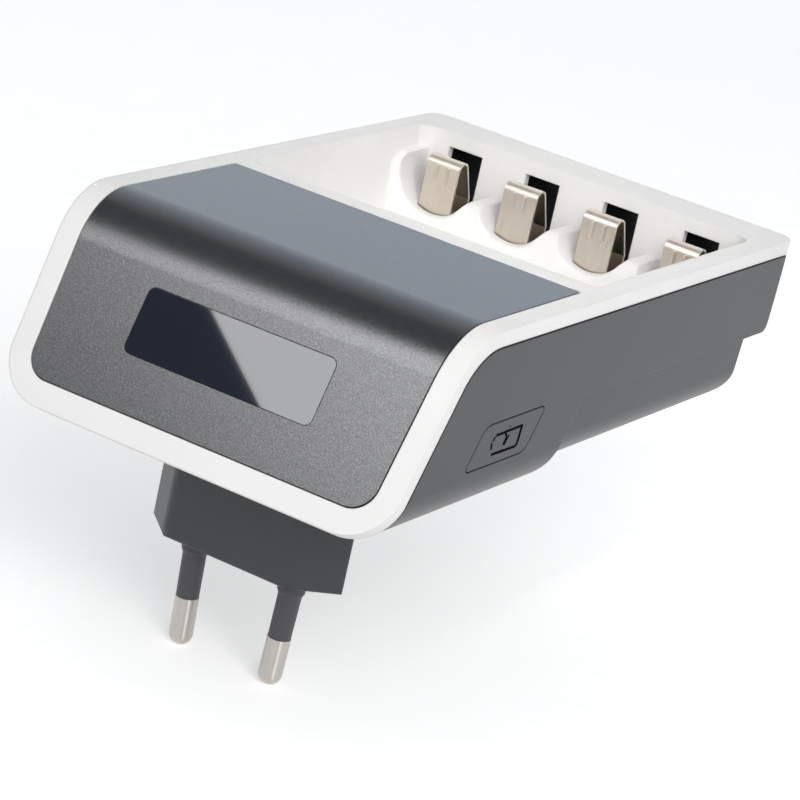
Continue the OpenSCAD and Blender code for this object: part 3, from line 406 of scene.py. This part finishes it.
# Floor: a wide sheet of white paper just under the tips of the pins.
# It is lifted towards white where it is looked at, straight or in a reflection, and keeps the shadow.
def looked_at(tree):
    rays = tree.nodes.new("ShaderNodeLightPath")
    seen_or_mirrored = tree.nodes.new("ShaderNodeMath")
    seen_or_mirrored.operation = "MAXIMUM"
    any_look = tree.nodes.new("ShaderNodeMath")
    any_look.operation = "MAXIMUM"
    tree.links.new(rays.outputs["Is Camera Ray"], seen_or_mirrored.inputs[0])
    tree.links.new(rays.outputs["Is Glossy Ray"], seen_or_mirrored.inputs[1])
    tree.links.new(seen_or_mirrored.outputs[0], any_look.inputs[0])
    tree.links.new(rays.outputs["Is Transmission Ray"], any_look.inputs[1])
    return any_look.outputs[0]


def panel(name, mat, corner, side, rise):
    mesh = bpy.data.meshes.new(name)
    mesh.from_pydata([corner, corner + side, corner + side + rise, corner + rise], [], [(0, 1, 2, 3)])
    mesh.materials.append(mat)
    obj = bpy.data.objects.new(name, mesh)
    bpy.context.collection.objects.link(obj)
    return obj


floor_paper = plastic(
    "floor_paper", dark=(0.9, 0.9, 0.9), light=(0.92, 0.92, 0.92), roughness=0.8,
    grain_scale=400, grain_height=0.00001, edge_radius=0.0, specular=0.2)
paper_lift = 0.42
paper_nodes, paper_links = floor_paper.node_tree.nodes, floor_paper.node_tree.links
paper_shader = paper_nodes["Principled BSDF"]
paper_shader.inputs["Emission Color"].default_value = (1, 1, 1, 1)
lift = paper_nodes.new("ShaderNodeMath")
lift.operation = "MULTIPLY"
lift.inputs[1].default_value = paper_lift
paper_links.new(looked_at(floor_paper.node_tree), lift.inputs[0])
paper_links.new(lift.outputs[0], paper_shader.inputs["Emission Strength"])
floor_size = 6
floor_drop = 0.0001
floor_corner = Vector((-floor_size / 2, -floor_size / 2, cad_low.z - floor_drop))
panel("floor", floor_paper, floor_corner, side=Vector((floor_size, 0, 0)), rise=Vector((0, floor_size, 0)))


# Soft lamps: a square key lamp from the front right, and a narrow warm one that lights the tray.
# They are matt diffusers, which shade the pieces and leave no image in the polished ones.
def area_light(name, place, aim, size, power, color=(1, 1, 1)):
    data = bpy.data.lights.new(name, "AREA")
    data.shape = "RECTANGLE"
    data.size, data.size_y = size
    data.energy = power
    data.color = color
    lamp = bpy.data.objects.new(name, data)
    bpy.context.collection.objects.link(lamp)
    lamp.location = place
    lamp.rotation_euler = (aim - place).to_track_quat("-Z", "Y").to_euler()
    return lamp


body_at = (cad_low + cad_high) / 2
key = area_light("key", Vector((0.57, -0.55, 0.52)), body_at, size=(0.5, 0.5), power=5)
key.visible_glossy = False
tray_half = 0.0312
cell_depth = 0.0075
tray_at = Vector((0, cad_high.y - tray_half, cad_high.z - cell_depth))
tray_lamp_at = tray_at + Vector((0.2, -0.42, 0.4))
tray_fill = area_light(
    "tray_fill", tray_lamp_at, tray_at, size=(0.08, 0.06), power=0.0072, color=(1, 0.97, 0.94))
tray_fill.data.spread = math.radians(14)
tray_fill.visible_glossy = False


# Sheen lamps: a tall soft box that shows in window and slope, and smaller ones for the cover and the metal.
# They stand where each surface mirrors them to the camera, and each shines on its own pieces alone.
def sheen_lamp(name, place, aim, size, power, parts, color=(1, 1, 1)):
    lamp = area_light(name, place, aim, size, power, color)
    lamp.visible_diffuse = False
    lit_parts = bpy.data.collections.new(name + "_parts")
    for part in parts:
        lit_parts.objects.link(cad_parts[part])
    lamp.light_linking.receiver_collection = lit_parts
    return lamp


slope_lean = math.radians(25.42)
slope_normal = Vector((0, -math.cos(slope_lean), math.sin(slope_lean)))
slope_way = slope_normal * (2 * to_camera.dot(slope_normal)) - to_camera
sideways = slope_way.cross(Vector((0, 0, 1))).normalized()
upwards = sideways.cross(slope_way)
window_low, window_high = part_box("display_window")
middle_to_face = Vector((0, -0.0015, 0.001))
window_at = (window_low + window_high) / 2 + middle_to_face
box_size = (0.32, 0.55)
box_far = 0.8
box_right = 0.03
box_up = 0.215
box_at = window_at + slope_way * box_far - sideways * box_right + upwards * box_up
soft_box = sheen_lamp(
    "soft_box", box_at, window_at, box_size, power=5.3, parts=["display_cover", "display_window"])
soft_box.rotation_euler = slope_way.to_track_quat("Z", "Y").to_euler()
left_out = 0.25
left_down = 0.14
left_at = box_at + sideways * left_out - upwards * left_down
sheen_lamp("left_glow", left_at, window_at, size=(0.2, 0.5), power=0.9, parts=["display_cover"])
top_way = Vector((-to_camera.x, -to_camera.y, to_camera.z))
back_up = 0.14
back_at = window_at + top_way * box_far + Vector((0, 0, back_up))
sheen_lamp(
    "back_glow", back_at, window_at, size=(0.5, 0.6), power=0.37, parts=["display_cover"],
    color=(0.25, 0.6, 1))
sheen_lamp("glint", box_at, window_at, box_size, power=0.95, parts=negative_contacts)
pin_glint_at = Vector((0.42, -0.27, 0.12))
pins_at = Vector((0, 0, cad_low.z / 2))
sheen_lamp("pin_glint", pin_glint_at, pins_at, size=(0.05, 0.24), power=0.4, parts=pins)

# Cards: felt and grey paper that show only in reflections.
# The tilted felt keeps the window's left dark, the ceiling greys the bend, and the strip shades the side.
card_felt = plastic(
    "card_felt", dark=(0.02, 0.022, 0.03), light=(0.03, 0.033, 0.042), roughness=0.9,
    grain_scale=400, grain_height=0.00001, edge_radius=0.0, specular=0.1)
ceiling_grey = plastic(
    "ceiling_grey", dark=(0.72, 0.73, 0.755), light=(0.74, 0.75, 0.775), roughness=0.9,
    grain_scale=400, grain_height=0.00001, edge_radius=0.0, specular=0.1)
card_tilt = math.radians(27)
card_side = sideways * math.cos(card_tilt) + upwards * math.sin(card_tilt)
card_rise = upwards * math.cos(card_tilt) - sideways * math.sin(card_tilt)
card_width = 0.22
card_height = 0.12
card_gap = 0.02
card_left = 0.0355
card_down = 0.0143
card_far = box_far - card_gap
card_top = window_at + slope_way * card_far + sideways * card_left - upwards * card_down
card_corner = card_top - card_side * (card_width / 2) - card_rise * card_height
dark_card = panel("dark_card", card_felt, card_corner, card_side * card_width, card_rise * card_height)
ceiling_corner = Vector((-1, -0.62, 0.95))
ceiling_side = Vector((1.15, 0, 0))
ceiling_depth = Vector((0, 0.94, 0))
ceiling_card = panel("ceiling_card", ceiling_grey, ceiling_corner, ceiling_side, ceiling_depth)
strip_side = Vector((0.7, 0.71, 0)) * 0.08
strip_rise = Vector((0, 0, 0.45))
strip_foot = Vector((0.355, -0.35, 0))
dark_strip = panel("dark_strip", card_felt, strip_foot - strip_side / 2, strip_side, strip_rise)
for card in (dark_card, ceiling_card, dark_strip):
    card.visible_camera = False
    card.visible_diffuse = False
ceiling_card.visible_shadow = False
dark_strip.visible_shadow = False

# Surround: the walls of an even white studio, which show white where they are seen or mirrored.
# The light that they shed on the pieces is softer and slightly blue.
world = bpy.data.worlds.new("surround")
bpy.context.scene.world = world
world.use_nodes = True
world_nodes, world_links = world.node_tree.nodes, world.node_tree.links
world_nodes.clear()
seen = world_nodes.new("ShaderNodeBackground")
seen.inputs["Color"].default_value = (1, 1, 1, 1)
lit = world_nodes.new("ShaderNodeBackground")
lit.inputs["Color"].default_value = (0.95, 0.975, 1, 1)
lit.inputs["Strength"].default_value = 0.5
either = world_nodes.new("ShaderNodeMixShader")
world_out = world_nodes.new("ShaderNodeOutputWorld")
world_links.new(looked_at(world.node_tree), either.inputs["Fac"])
world_links.new(lit.outputs["Background"], either.inputs[1])
world_links.new(seen.outputs["Background"], either.inputs[2])
world_links.new(either.outputs["Shader"], world_out.inputs["Surface"])
